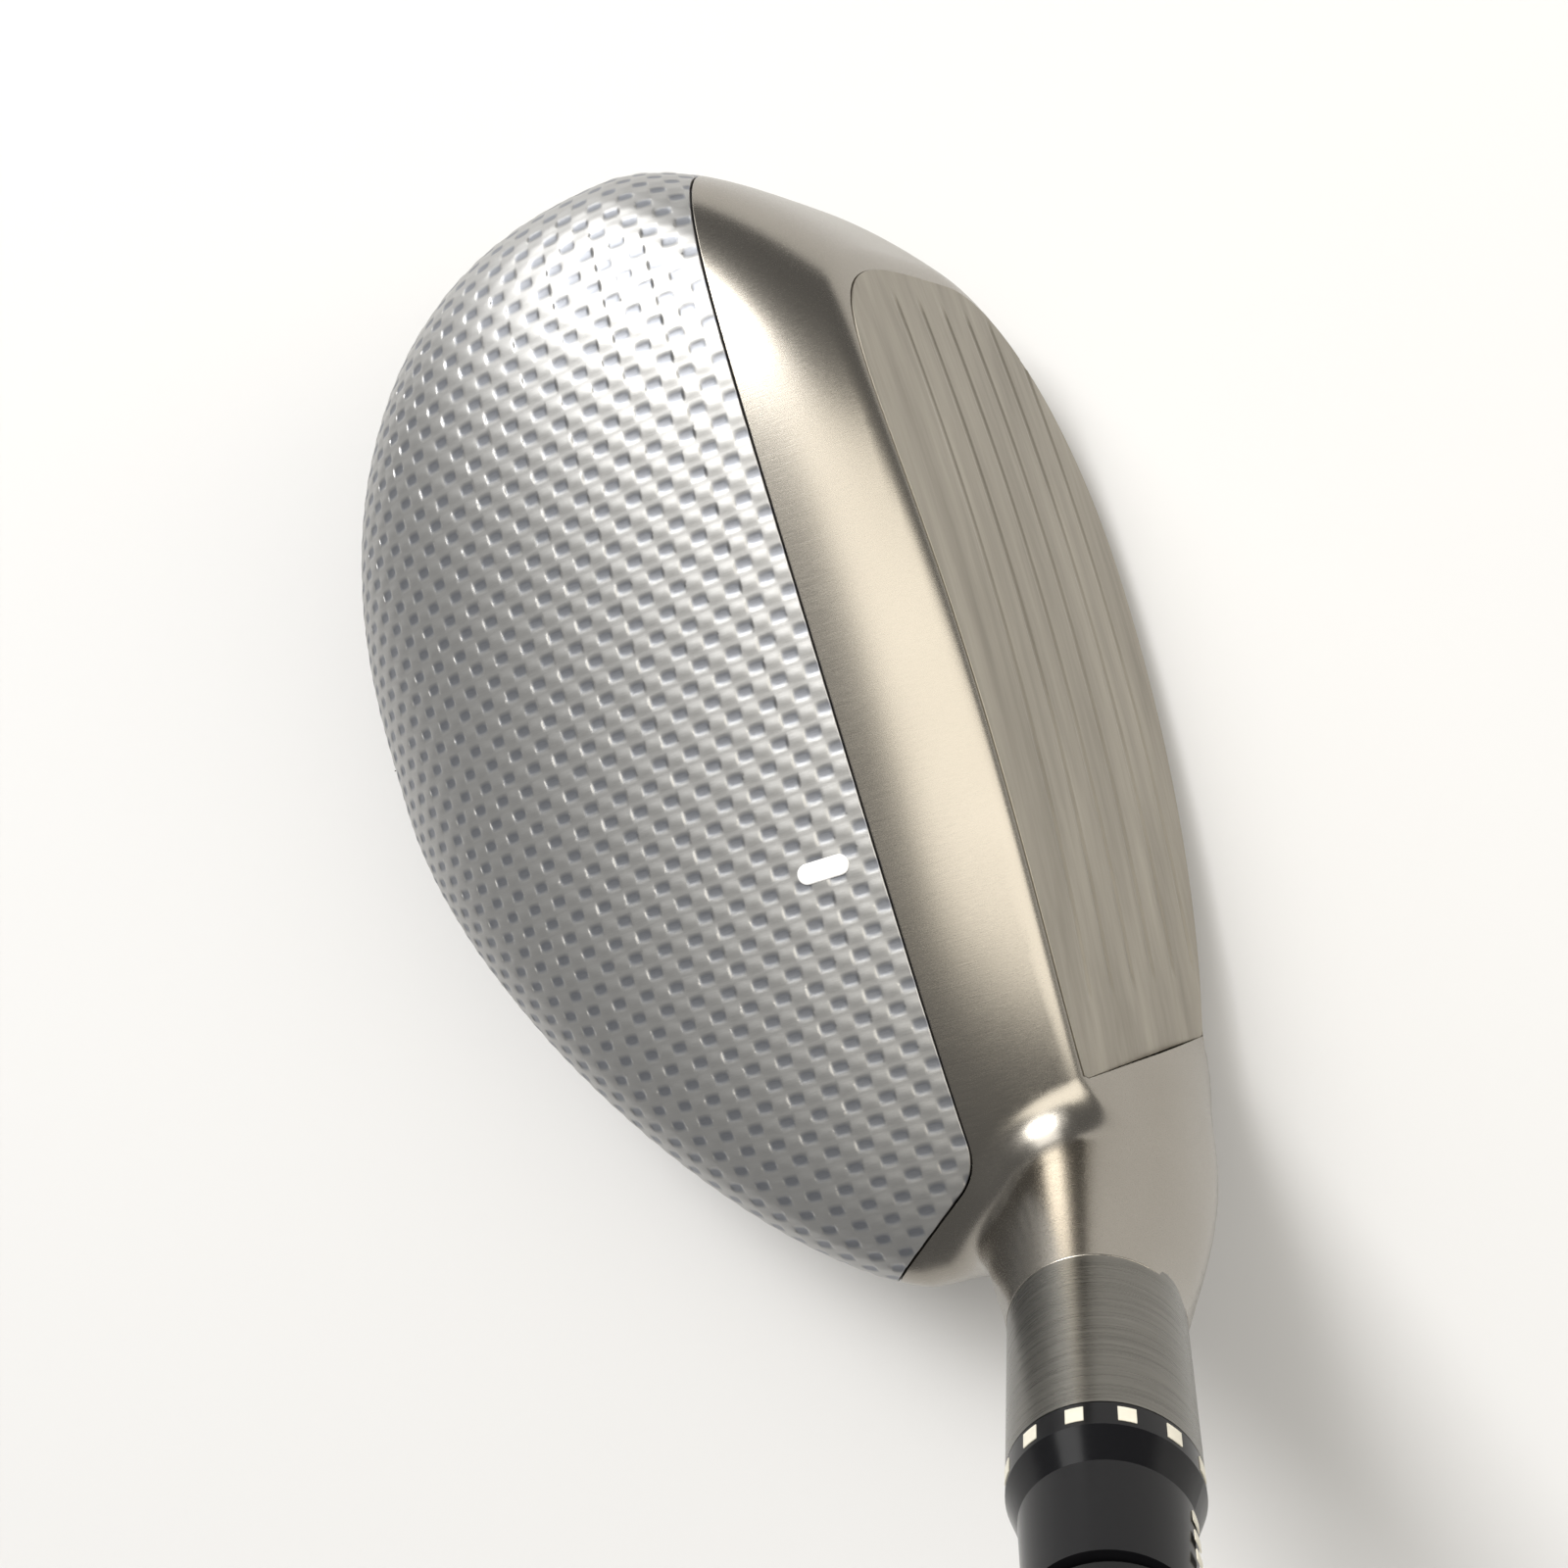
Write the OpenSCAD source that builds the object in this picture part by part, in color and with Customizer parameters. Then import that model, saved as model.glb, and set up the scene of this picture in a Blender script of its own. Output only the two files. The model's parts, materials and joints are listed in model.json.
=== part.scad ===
// Hybrid golf club for a left-handed player, with an adjustable loft sleeve.
// Address position in millimetres: the sole rests on the ground, the face
// looks along +X, heel to toe runs along +Y and +Z is up.
// The origin is the middle of the flat patch that the sole stands on.

/* [Club] */
// Playing length, from the ground along the shaft to the top of the grip cap
club_length = 1016; // [900:1:1060]
// Angle of the hosel bore above the ground, heel side
bore_lie = 61; // [56:0.5:64]
// How far the sleeve tilts the shaft out of the hosel bore
sleeve_tilt = 1; // [0.5:0.25:2]
// Loft of the face
loft = 20.5; // [16:0.5:28]

/* [Head form] */
// Toe end, measured from the origin
toe_reach = 47.5; // [42:0.5:55]
// Heel end, measured from the origin
heel_reach = 59; // [50:0.5:64]
// Leading edge, ahead of the hosel bore
leading_edge = 16.3; // [8:0.1:20]
// Leading edge to the rearmost point
head_depth = 73.3; // [55:0.1:80]
// Height of the crown over the origin
crown_height = 38; // [30:0.5:44]
// Height of the widest line round the head
equator = 17.8; // [12:0.1:22]
// Rise of the topline per millimetre towards the toe
topline_rise = 0.08; // [0:0.01:0.15]
// Sole wall and skirt wall
wall = 2; // [1:0.1:3]
// Thickness of the face plate
face_plate_t = 2.2; // [1.6:0.1:3]

/* [Crown panel] */
// Front seam, behind the hosel bore
seam_setback = 8.2; // [4:0.1:14]
// Height of the panel's lower edge on the skirt
panel_edge_z = 19; // [17:0.5:24]
// Thickness of the carbon panel
panel_t = 0.9; // [0.6:0.1:1.5]
// Thickness of the glue line under it
bond_t = 0.2; // [0.1:0.05:0.4]
// Width of the ledge that carries the panel
ledge_w = 4; // [3:0.5:8]

/* [Hosel] */
// Hosel outside diameter
hosel_d = 13.9; // [12:0.1:15]
// Hosel bore diameter
hosel_bore_d = 11.7; // [10:0.1:12]
// Top of the hosel, along the bore from the ground
hosel_top = 66; // [55:0.5:75]
// Where the bare tube leaves the neck of the head
neck_top = 50; // [44:0.5:58]

/* [Shaft and grip] */
// Diameter of the parallel shaft tip (.370 in)
tip_d = 9.4; // [8.5:0.1:10.2]
// Diameter of the parallel shaft butt (.600 in)
butt_d = 15.24; // [14.7:0.02:16]
// Length of the grip with its cap
grip_length = 265; // [250:1:280]
// Diameter of the grip at its cap
grip_cap_d = 27; // [24:0.5:29]
// Diameter of the vent hole in the grip cap
vent_d = 4; // [3:0.5:6]

/* [Hidden] */
// Fits
run_gap = 0.05;
join_gap = 0.1;
turning_gap = 0.02;
eps = 0.01;
far = 100;

// Form of the head. Each section is a superellipse across the head.
crown_square = 4.4;
sole_square = 2.15;
sole_dip = 0.9;
toe_widest = 0.29;
heel_widest = 0.29;
toe_front_taper = 0.32;
heel_front_taper = 0.035;
edge_roll = 12;
edge_drop = 1.3;
sole_roll = 22;
sole_drop = 3.2;
roll_power = 2.9;
lead_z = 2.5;
face_bulge = 3.7;
bulge_span = 50;
smallest = 0.2;
loop_count = 40;
front_stations = 5;
rear_stations = 12;
front_share = 0.2;
face_rings = [0.02, 0.35, 0.7];

// Crown panel outline
heel_corner_y = -49.3;
heel_edge_run = [-80, -59];
corner_r = 5;
opening_rise = 4;

// Face
face_rim = 0.8;
plate_heel_y = -44;
score_count = 6;
score_pitch = 4;
score_first_z = 8;
score_w = 0.7;
score_depth = 0.35;
score_margin = [10, 13];

// Sole slot and its plug
slot_x = 8.5;
slot_w = 3.2;
slot_half_length = 20;
plug_recess = 0.15;

// Bore stack, along the bore from the ground
bore_foot_y = -37.7;
seat_low = 21;
seat_high = 24;
spline_top = 30;
tube_end_recess = 0.6;
hosel_r = hosel_d / 2;
bore_r = hosel_bore_d / 2;
pillar_r = hosel_r + 1.6;
// Neck of the casting: a round post that flares lower down, save on its toe side
neck_r = hosel_r + run_gap;
neck_low = 19;
neck_wide_s = 25;
neck_flare = 4.5;
neck_spread = 0.6;
neck_front_reach = 2.6;
neck_plain_side = 0.75;
neck_turn = 1.1;
neck_steps = 8;
neck_sides = 64;
spline_count = 12;
spline_root_r = 4.3;
spline_tip_r = 4.85;
spline_w = 1.1;

// Hosel screw, M5 by 0.8
screw_r = 2.45;
screw_hole_r = 2.75;
screw_head_r = 4.3;
screw_head_h = 4.6;
screw_tip = 32.5;
recess_r = 2;
recess_depth = 2.6;
washer_t = 0.8;
washer_r = 4.9;
counterbore_r = 5;
washer_low = seat_low - turning_gap - washer_t;
screw_low = washer_low - turning_gap - screw_head_h;
clip_t = 0.5;

// Loft sleeve, along the bore
sleeve_low = 24.6;
blind_top = 34;
collar_low = hosel_top + 0.1;
tick_band = 2.1;
chamfer_top = 4.6;
collar_top = 12.1;
collar_mid_r = 6.1;
collar_end_r = 5.7;
tick_size = 1.3;
tick_lift = 0.07;
mark_count = 3;
mark_pitch = 1.7;

// Shaft stations, along the shaft from the ground
tip_r = tip_d / 2;
butt_r = butt_d / 2;
pivot_s = 60;
shaft_low = 34.3;
taper_low = 115;
taper_high = 900;
tip_wall = 1.6;
butt_wall = 1.1;
bond_r = 0.08;
tip_plug_low = 37;
tip_plug_h = 12;
ferrule_low = collar_low + collar_top + 0.25;
ferrule_length = 21;
ferrule_r = 5.65;
band_low = 700;
band_h = 14;
band_t = 0.06;

// Grip
cap_t = 4;
cap_plug_h = 9;
cap_plug_bore_r = 3.5;
tape_t = 0.2;
grip_low = club_length - grip_length;
grip_high = club_length - cap_t;
shaft_high = grip_high - 0.5;
grip_mouth_r = 8.5;
grip_hand_r = 10.9;
grip_neck_r = 11.8;
grip_cap_r = grip_cap_d / 2;
vent_r = vent_d / 2;

// Sole weight
weight_x = -38;
weight_z = 6.2;
weight_tilt = 17;
port_r = 8.5;
port_h = 12;
port_recess = 0.6;
weight_r = 6;
weight_head_h = 3;
weight_shank_r = 4;
weight_shank_h = 7;
weight_recess_r = 2.4;
o_ring_t = 1;

// ---- curves shared by several pieces ----

// Reach of the head at depth q (0 front, 1 rear), widest at q0.
function reach_share(q, q0, taper, p, r) =
    q < q0
    ? 1 - taper * pow((q0 - q) / q0, 2)
    : pow(max(0, 1 - pow((q - q0) / (1 - q0), p)), 1 / r);

// A rolled edge: 1 at the front, fading to 0 over the given length.
function roll_share(q, length) =
    pow(max(0, 1 - q * head_depth / length), roll_power);

function squared(c, n) = sign(c) * pow(abs(c), 2 / n);

function face_x(y, z, share = 1) =
    -share * (tan(loft) * (z - lead_z) + face_bulge * pow(y / bulge_span, 2));

function toe_at(q, inset) =
    toe_reach * reach_share(q, toe_widest, toe_front_taper, 2.2, 2.25)
    - 0.8 * edge_drop * roll_share(q, edge_roll) - inset;

function heel_at(q, inset) =
    heel_reach * reach_share(q, heel_widest, heel_front_taper, 1.34, 1.64)
    - 0.5 * edge_drop * roll_share(q, edge_roll) - inset;

function rise_at(q, inset) =
    (crown_height - equator) * sqrt(max(0, 1 - q * q))
    - edge_drop * roll_share(q, edge_roll) - inset;

function fall_at(q, inset) =
    (equator + sole_dip) * pow(max(0, 1 - pow(q, 2.2)), 1 / 1.8)
    - sole_drop * roll_share(q, sole_roll) - inset;

function section_yz(q, t, inset) =
    let (
        c = squared(cos(t), sin(t) >= 0 ? crown_square : sole_square),
        s = squared(sin(t), sin(t) >= 0 ? crown_square : sole_square),
        y = c * max(smallest, c >= 0 ? toe_at(q, inset) : heel_at(q, inset)),
        half = max(smallest, s >= 0 ? rise_at(q, inset) : fall_at(q, inset))
    )
    [y, equator + half * s + topline_rise * y * max(0, s)];

function section_loop(q, inset, front) =
    [for (i = [0:loop_count - 1])
        let (p = section_yz(q, 360 * i / loop_count, inset))
        [leading_edge - front - q * (head_depth - front - inset)
            + face_x(p[0], p[1], 1 - pow(q, 1.5)), p[0], p[1]]];

function face_loop(share, inset, dx) =
    [for (i = [0:loop_count - 1])
        let (
            p = section_yz(0, 360 * i / loop_count, inset),
            y = share * p[0],
            z = equator + share * (p[1] - equator)
        )
        [leading_edge + dx + face_x(y, z), y, z]];

function station(i) =
    i < front_stations
    ? front_share * i / front_stations
    : front_share + (1 - front_share) * sin(90 * (i - front_stations) / rear_stations);

// Radius of the shaft and of its bore at station s.
function taper_share(s) = min(1, max(0, (s - taper_low) / (taper_high - taper_low)));
function shaft_r(s) = tip_r + (butt_r - tip_r) * taper_share(s);
function shaft_bore_r(s) = shaft_r(s) - tip_wall - (butt_wall - tip_wall) * taper_share(s);

// ---- placing ----

module on_bore(s = 0)
    translate([0, bore_foot_y, 0])
        rotate([90 - bore_lie, 0, 0])
            translate([0, 0, s])
                children();

module on_shaft(s = 0)
    on_bore(pivot_s)
        rotate([sleeve_tilt, 0, 0])
            translate([0, 0, s - pivot_s])
                children();

module on_weight(s = 0)
    translate([weight_x, 0, weight_z])
        rotate([0, weight_tilt, 0])
            translate([0, 0, s])
                children();

// ---- building blocks ----

// Closed skin through a list of loops, front to rear.
module skin(loops) {
    n = len(loops[0]);
    m = len(loops);
    sides = [for (i = [0:m - 2], j = [0:n - 1])
        each let (k = (j + 1) % n)
        [[i * n + j, i * n + k, (i + 1) * n + k],
            [i * n + j, (i + 1) * n + k, (i + 1) * n + j]]];
    polyhedron(
        points = [for (loop = loops) each loop],
        faces = concat([[for (j = [n - 1:-1:0]) j]], sides,
            [[for (j = [0:n - 1]) (m - 1) * n + j]]));
}

module head_form(inset = 0, front = 0)
    skin(concat(
        [for (share = face_rings) face_loop(share, inset, -front)],
        [for (i = [0:front_stations + rear_stations])
            section_loop(station(i), inset, front)]));

// Slab along the face, from dx_front ahead of it to dx_back behind it.
module face_slab(inset, dx_front, dx_back)
    skin(concat(
        [for (share = face_rings) face_loop(share, inset, dx_front)],
        [face_loop(1, inset, dx_front), face_loop(1, inset, -dx_back)],
        [for (i = [len(face_rings) - 1:-1:0]) face_loop(face_rings[i], inset, -dx_back)]));

// Everything above and behind the crown panel's outline.
module crown_cut(inset = 0, low = panel_edge_z)
    translate([0, 0, low + inset])
        linear_extrude(far)
            offset(r = corner_r)
                offset(delta = -corner_r - inset)
                    polygon([
                        [-seam_setback, far],
                        [-seam_setback, heel_corner_y],
                        [-seam_setback + heel_edge_run[0], heel_corner_y + heel_edge_run[1]],
                        [-far, far]]);

module ring(r_out, r_in, h) {
    difference() {
        cylinder(r = r_out, h = h);
        translate([0, 0, -eps])
            cylinder(r = r_in, h = h + 2 * eps);
    }
}

// Six-lobe driver recess, opening downwards.
module driver_recess(r, depth)
    translate([0, 0, -eps])
        for (i = [0:2])
            rotate([0, 0, 60 * i])
                cube([2 * r, 0.8 * r, 2 * depth], center = true);

module splines(r_tip, w, h)
    for (i = [0:spline_count - 1])
        rotate([0, 0, 360 * i / spline_count])
            translate([0, -w / 2, 0])
                cube([r_tip, w, h]);

// Sends a piece with sculpted skins through as one mesh.
module sculpted()
    resize([0, 0, 0])
        children();

// ---- head ----

module above_ground()
    translate([-far, -far, 0])
        cube([2 * far, 2 * far, 2 * far]);

module slot_box(gap = 0)
    translate([slot_x - slot_w / 2 + gap, -slot_half_length + gap, -eps])
        cube([slot_w - 2 * gap, 2 * slot_half_length - 2 * gap, equator / 2]);

function soft(t) = let (c = min(1, max(0, t))) c * c * (3 - 2 * c);

function neck_ring(s) =
    let (lower = pow(soft((neck_top - s) / (neck_top - neck_wide_s)), neck_spread))
    [for (i = [0:neck_sides - 1])
        let (
            angle = -360 * i / neck_sides,
            flare = neck_flare * lower * soft((neck_plain_side - sin(angle)) / neck_turn),
            r = neck_r + flare
        )
        [min(r * cos(angle), neck_r + neck_front_reach * lower), r * sin(angle), s]];

// Post of the casting round the hosel tube, from inside the head to the bare tube.
module neck()
    on_bore()
        skin([for (i = [0:neck_steps])
            neck_ring(neck_low + (neck_top - neck_low) * i / neck_steps)]);

// Wall round the hosel tube inside the head, down to the sole.
module pillar()
    on_bore()
        cylinder(r = pillar_r, h = neck_top - 10, $fn = 64);

module head_outside()
    intersection() {
        union() {
            head_form();
            neck();
        }
        above_ground();
    }

// Where the face plate sits: inside the rim, clear of the neck and of the heel.
module face_pocket(gap = 0)
    difference() {
        face_slab(face_rim + gap, far / 10, face_plate_t);
        neck();
        pillar();
        translate([-far, plate_heel_y + gap - 2 * far, -far])
            cube(2 * far);
    }

module head_skin()
    union() {
        difference() {
            head_outside();
            crown_cut();
        }
        intersection() {
            head_form(panel_t + bond_t);
            crown_cut();
        }
    }

module hosel_pillar()
    intersection() {
        head_skin();
        union() {
            neck();
            pillar();
        }
    }

module head_shell()
    union() {
        difference() {
            head_skin();
            head_form(panel_t + bond_t + wall / 2, face_plate_t - 0.3);
            crown_cut(ledge_w, panel_edge_z + opening_rise);
        }
        hosel_pillar();
    }

module head_body()
    color([0.62, 0.6, 0.56])
        sculpted()
            difference() {
                head_shell();
                face_pocket();
                on_bore(-far / 4)
                    cylinder(r = (hosel_r + eps) / cos(180 / 64), h = far, $fn = 64);
                on_weight(-far / 4)
                    cylinder(r = (port_r + eps) / cos(180 / 64), h = far / 4 + port_h + 1, $fn = 64);
                slot_box();
            }

module score_bands()
    for (i = [0:score_count - 1])
        translate([0, 0, score_first_z + i * score_pitch])
            cube([far, 2 * far, score_w], center = true);

module face_plate()
    color([0.66, 0.64, 0.6])
        sculpted()
            difference() {
                intersection() {
                    head_form();
                    face_pocket(join_gap / 4);
                }
                intersection() {
                    face_slab(score_margin[0], far / 10, score_depth);
                    score_bands();
                }
            }

module crown_panel()
    color([0.55, 0.56, 0.58])
        sculpted()
            difference() {
                intersection() {
                    head_form();
                    crown_cut(join_gap);
                }
                head_form(panel_t);
            }

module crown_bond()
    color([0.2, 0.2, 0.22])
        sculpted()
            difference() {
                intersection() {
                    head_form(panel_t);
                    crown_cut(2 * join_gap);
                }
                head_form(panel_t + bond_t);
                crown_cut(ledge_w, panel_edge_z + opening_rise);
            }

// A short aiming bar laid on the crown beside the seam.
module alignment_mark()
    color([0.95, 0.95, 0.95])
        sculpted()
            difference() {
                intersection() {
                    head_form(-0.1);
                    translate([-seam_setback - 5, -21, equator])
                        linear_extrude(far)
                            hull() {
                                translate([-1.5, 0])
                                    circle(r = 0.8, $fn = 24);
                                translate([1.5, 0])
                                    circle(r = 0.8, $fn = 24);
                            }
                }
                head_form();
            }

module slot_plug()
    color([0.12, 0.12, 0.13])
        sculpted()
            intersection() {
                difference() {
                    head_form(plug_recess);
                    head_form(panel_t + bond_t + wall / 2);
                }
                slot_box(join_gap / 4);
                translate([0, 0, plug_recess])
                    above_ground();
            }

// ---- hosel, sleeve and screw ----

// Keeps what lies above the sole around the screw's opening.
module above_sole_at_bore()
    on_bore(6.3 + tube_end_recess)
        rotate([-(90 - bore_lie) - 20, 0, 0])
            translate([-far, -far, 0])
                cube([2 * far, 2 * far, 2 * far]);

module hosel_tube()
    color([0.68, 0.66, 0.62])
        intersection() {
            on_bore()
                difference() {
                    translate([0, 0, -hosel_r])
                        cylinder(r = hosel_r, h = hosel_top + hosel_r, $fn = 96);
                    translate([0, 0, seat_high])
                        cylinder(r = bore_r, h = far, $fn = 96);
                    translate([0, 0, seat_low - eps])
                        cylinder(r = screw_hole_r, h = far, $fn = 48);
                    translate([0, 0, seat_low - far])
                        cylinder(r = counterbore_r + join_gap, h = far, $fn = 64);
                }
            above_sole_at_bore();
        }

module spline_insert()
    color([0.75, 0.75, 0.77])
        on_bore(seat_high)
            difference() {
                cylinder(r = bore_r, h = spline_top - seat_high, $fn = 96);
                translate([0, 0, -eps])
                    cylinder(r = spline_root_r + run_gap, h = far, $fn = 64);
                translate([0, 0, -eps])
                    splines(spline_tip_r + run_gap, spline_w + 2 * run_gap, far);
            }

module screw_washer()
    color([0.75, 0.75, 0.75])
        on_bore(washer_low)
            ring(washer_r, screw_hole_r, washer_t, $fn = 64);

module hosel_screw()
    color([0.25, 0.25, 0.27])
        on_bore(screw_low)
            difference() {
                union() {
                    cylinder(r = screw_head_r, h = screw_head_h, $fn = 64);
                    cylinder(r = screw_r, h = screw_tip - screw_low, $fn = 48);
                }
                driver_recess(recess_r, recess_depth);
            }

module retaining_clip()
    color([0.1, 0.1, 0.1])
        on_bore(seat_high)
            ring(spline_root_r - 0.4, screw_r, clip_t, $fn = 48);

module sleeve_turning()
    rotate_extrude($fn = 96)
        polygon([
            [0, sleeve_low],
            [spline_root_r, sleeve_low],
            [spline_root_r, spline_top + 0.3],
            [bore_r - run_gap, spline_top + 1],
            [bore_r - run_gap, collar_low],
            [hosel_r, collar_low],
            [hosel_r, collar_low + tick_band],
            [collar_mid_r, collar_low + chamfer_top],
            [collar_end_r, collar_low + collar_top],
            [0, collar_low + collar_top]]);

module loft_sleeve()
    color([0.06, 0.06, 0.07])
        difference() {
            on_bore() {
                sleeve_turning();
                translate([0, 0, sleeve_low])
                    splines(spline_tip_r, spline_w, spline_top - sleeve_low + 0.3);
            }
            on_shaft(blind_top)
                cylinder(r = tip_r + bond_r, h = far, $fn = 64);
            on_bore(0)
                cylinder(r = screw_r + run_gap, h = blind_top - 0.8, $fn = 48);
            on_shaft(ferrule_low)
                cylinder(r = far / 5, h = far, $fn = 48);
        }

module sleeve_ticks()
    color([0.9, 0.88, 0.8])
        on_bore(collar_low + (tick_band - tick_size) / 2)
            intersection() {
                ring(hosel_r + tick_lift, hosel_r, tick_size, $fn = 96);
                splines(far / 4, tick_size, tick_size);
            }

// Plain setting marks on the slim part of the sleeve.
module sleeve_marks()
    color([0.85, 0.85, 0.83])
        on_bore(collar_low + chamfer_top + 0.6)
            for (i = [0:mark_count - 1])
                translate([0, 0, i * mark_pitch])
                    intersection() {
                        mark_band();
                        translate([0, -tick_size / 2, 0])
                            cube([far / 4, tick_size, mark_pitch / 2]);
                    }

// A thin band lying on the sleeve's slim cone.
module mark_band() {
    ring(collar_mid_r + tick_lift, collar_mid_r - 0.02, mark_pitch / 2, $fn = 96);
}

module shaft_bond()
    color([0.75, 0.7, 0.5])
        on_shaft(blind_top + 0.4)
            ring(tip_r + bond_r, tip_r, ferrule_low - blind_top - 1, $fn = 64);

module ferrule()
    color([0.05, 0.05, 0.05])
        on_shaft(ferrule_low)
            rotate_extrude($fn = 96)
                polygon([
                    [tip_r, 0],
                    [ferrule_r - 0.2, 0],
                    [ferrule_r, 0.3],
                    [ferrule_r, 1],
                    [ferrule_r - 0.15, 1.3],
                    [tip_r + 0.25, ferrule_length],
                    [tip_r, ferrule_length]]);

// ---- shaft and grip ----

module shaft()
    color([0.12, 0.12, 0.14])
        on_shaft()
            rotate_extrude($fn = 96)
                polygon([
                    [shaft_bore_r(shaft_low), shaft_low],
                    [shaft_r(shaft_low), shaft_low],
                    [shaft_r(taper_low), taper_low],
                    [shaft_r(taper_high), taper_high],
                    [shaft_r(shaft_high), shaft_high],
                    [shaft_bore_r(shaft_high), shaft_high],
                    [shaft_bore_r(taper_high), taper_high],
                    [shaft_bore_r(taper_low), taper_low]]);

module tip_plug()
    color([0.7, 0.55, 0.35])
        on_shaft(tip_plug_low)
            cylinder(r = shaft_bore_r(tip_plug_low), h = tip_plug_h, $fn = 48);

// A layer on the shaft between two stations.
module shaft_layer(s0, s1, t)
    on_shaft()
        rotate_extrude($fn = 96)
            polygon([
                [shaft_r(s0), s0],
                [shaft_r(s0) + t, s0],
                [shaft_r(s1) + t, s1],
                [shaft_r(s1), s1]]);

module shaft_band()
    color([0.8, 0.8, 0.82])
        shaft_layer(band_low, band_low + band_h, band_t);

module tape_below()
    shaft_layer(grip_low + 4, taper_high, tape_t);

module tape_above()
    shaft_layer(taper_high, shaft_high - 3, tape_t);

module grip_tape()
    color([0.85, 0.82, 0.7])
        union() {
            tape_below();
            tape_above();
        }

module grip()
    color([0.07, 0.07, 0.07])
        on_shaft()
            rotate_extrude($fn = 96)
                polygon([
                    [shaft_r(grip_low) + tape_t, grip_low],
                    [grip_mouth_r, grip_low],
                    [grip_mouth_r + 0.5, grip_low + 8],
                    [grip_hand_r, grip_low + 150],
                    [grip_neck_r, grip_high - 22],
                    [grip_cap_r - 0.3, grip_high - 5],
                    [grip_cap_r, grip_high],
                    [butt_r + tape_t, grip_high],
                    [butt_r + tape_t, taper_high]]);

module grip_cap()
    color([0.15, 0.15, 0.15])
        on_shaft()
            rotate_extrude($fn = 96)
                polygon([
                    [vent_r, grip_high],
                    [cap_plug_bore_r, grip_high],
                    [cap_plug_bore_r, grip_high - cap_plug_h],
                    [shaft_bore_r(grip_high) - run_gap, grip_high - cap_plug_h],
                    [shaft_bore_r(grip_high) - run_gap, grip_high],
                    [grip_cap_r, grip_high],
                    [grip_cap_r, club_length - 1.8],
                    [grip_cap_r - 1.8, club_length],
                    [vent_r, club_length]]);

// ---- sole weight ----

module weight_port()
    color([0.6, 0.58, 0.55])
        on_weight(port_recess)
            difference() {
                cylinder(r = port_r, h = port_h, $fn = 96);
                translate([0, 0, -eps])
                    cylinder(r = weight_r + 0.1, h = weight_head_h + o_ring_t + eps, $fn = 96);
                cylinder(r = weight_shank_r + run_gap, h = port_h - 1, $fn = 64);
            }

module sole_weight()
    color([0.3, 0.3, 0.32])
        on_weight(port_recess)
            difference() {
                union() {
                    cylinder(r = weight_r, h = weight_head_h, $fn = 96);
                    cylinder(r = weight_shank_r, h = weight_head_h + weight_shank_h, $fn = 64);
                }
                driver_recess(weight_recess_r, weight_head_h * 0.8);
            }

module weight_o_ring()
    color([0.05, 0.05, 0.05])
        on_weight(port_recess + weight_head_h)
            ring(weight_r - 0.2, weight_shank_r + run_gap, o_ring_t, $fn = 64);

head_body();
face_plate();
crown_panel();
crown_bond();
alignment_mark();
slot_plug();
hosel_tube();
spline_insert();
screw_washer();
hosel_screw();
retaining_clip();
loft_sleeve();
sleeve_ticks();
sleeve_marks();
shaft_bond();
ferrule();
shaft();
tip_plug();
shaft_band();
grip_tape();
grip();
grip_cap();
weight_port();
sole_weight();
weight_o_ring();
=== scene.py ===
"""Hybrid golf club: the looks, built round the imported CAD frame.

Sizes are in millimetres, in the frame's own axes, until a mesh is made.
"""

import json

import bpy
import numpy as np
from mathutils import Matrix, Vector


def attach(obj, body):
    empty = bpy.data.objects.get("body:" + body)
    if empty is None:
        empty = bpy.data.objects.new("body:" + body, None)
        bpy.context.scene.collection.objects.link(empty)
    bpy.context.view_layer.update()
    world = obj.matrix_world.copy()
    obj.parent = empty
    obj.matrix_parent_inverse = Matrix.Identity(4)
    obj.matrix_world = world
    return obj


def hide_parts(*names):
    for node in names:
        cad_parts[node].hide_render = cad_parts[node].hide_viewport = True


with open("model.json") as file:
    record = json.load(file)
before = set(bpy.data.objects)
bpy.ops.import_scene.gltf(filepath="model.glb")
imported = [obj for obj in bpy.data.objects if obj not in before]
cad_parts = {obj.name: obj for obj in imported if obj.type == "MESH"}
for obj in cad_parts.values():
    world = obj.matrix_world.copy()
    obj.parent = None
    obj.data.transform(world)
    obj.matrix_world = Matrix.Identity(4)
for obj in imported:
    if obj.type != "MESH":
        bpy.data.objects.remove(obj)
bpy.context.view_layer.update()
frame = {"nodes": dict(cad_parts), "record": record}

MM = 0.001

# ---- sizes of the head ----

# The skin is one section, which changes from the face to the rear end.
LOFT = np.radians(20.5)
TOE_REACH = 47.5
HEEL_REACH = 59
LEADING_EDGE = 16.3
HEAD_DEPTH = 73.3
CROWN_HEIGHT = 38
EQUATOR = 17.8
TOPLINE_RISE = 0.08
CROWN_SQUARE = 4.4
SOLE_SQUARE = 2.15
SOLE_DIP = 0.9
WIDEST = 0.29
TOE_TAPER = 0.32
TOE_POWER = 2.2
TOE_ROOT = 2.25
TOE_ROLL = 0.8
HEEL_TAPER = 0.035
HEEL_POWER = 1.34
HEEL_ROOT = 1.64
HEEL_ROLL = 0.5
SOLE_POWER = 2.2
SOLE_ROOT = 1.8
EDGE_ROLL = 12
EDGE_DROP = 1.3
SOLE_ROLL = 22
SOLE_DROP = 3.2
LEAD_Z = 2.5
FACE_BULGE = 3.7
BULGE_SPAN = 50
SMALLEST = 0.2
ROLL_POWER = 2.9
HEAD_REAR = LEADING_EDGE - HEAD_DEPTH

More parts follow.
